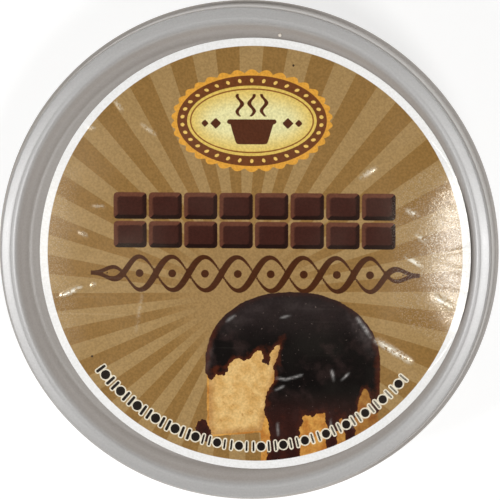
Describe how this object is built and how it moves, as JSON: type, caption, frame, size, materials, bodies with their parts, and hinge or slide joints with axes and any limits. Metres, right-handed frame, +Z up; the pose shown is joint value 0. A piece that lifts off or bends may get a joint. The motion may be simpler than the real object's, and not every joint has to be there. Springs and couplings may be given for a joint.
{
  "type": "round pudding tub with labelled lid",
  "caption": "Shut round plastic pudding tub: tapered filled tub, push-on lid with a recessed panel and raised bead, and a round printed label set off-centre on the lid.",
  "frame": {"origin": "centre of the tub's flat base, on the surface it stands on", "axes": "+Z up through the lid; +X towards the side where the label's edge climbs the lid's shoulder; +Y towards the top of the label's design"},
  "size_m": [0.121, 0.121, 0.07],
  "materials": {
    "tub_plastic": "milky grey polypropylene, satin",
    "lid_plastic": "milky grey polypropylene, satin with soft highlights on the bead",
    "label_paper": "coated paper, tan sunburst print with a white border, slightly wrinkled"
  },
  "bodies": {
    "root": {"tub": "tub_plastic", "lid": "lid_plastic", "label": "label_paper"}
  },
  "joints": []
}
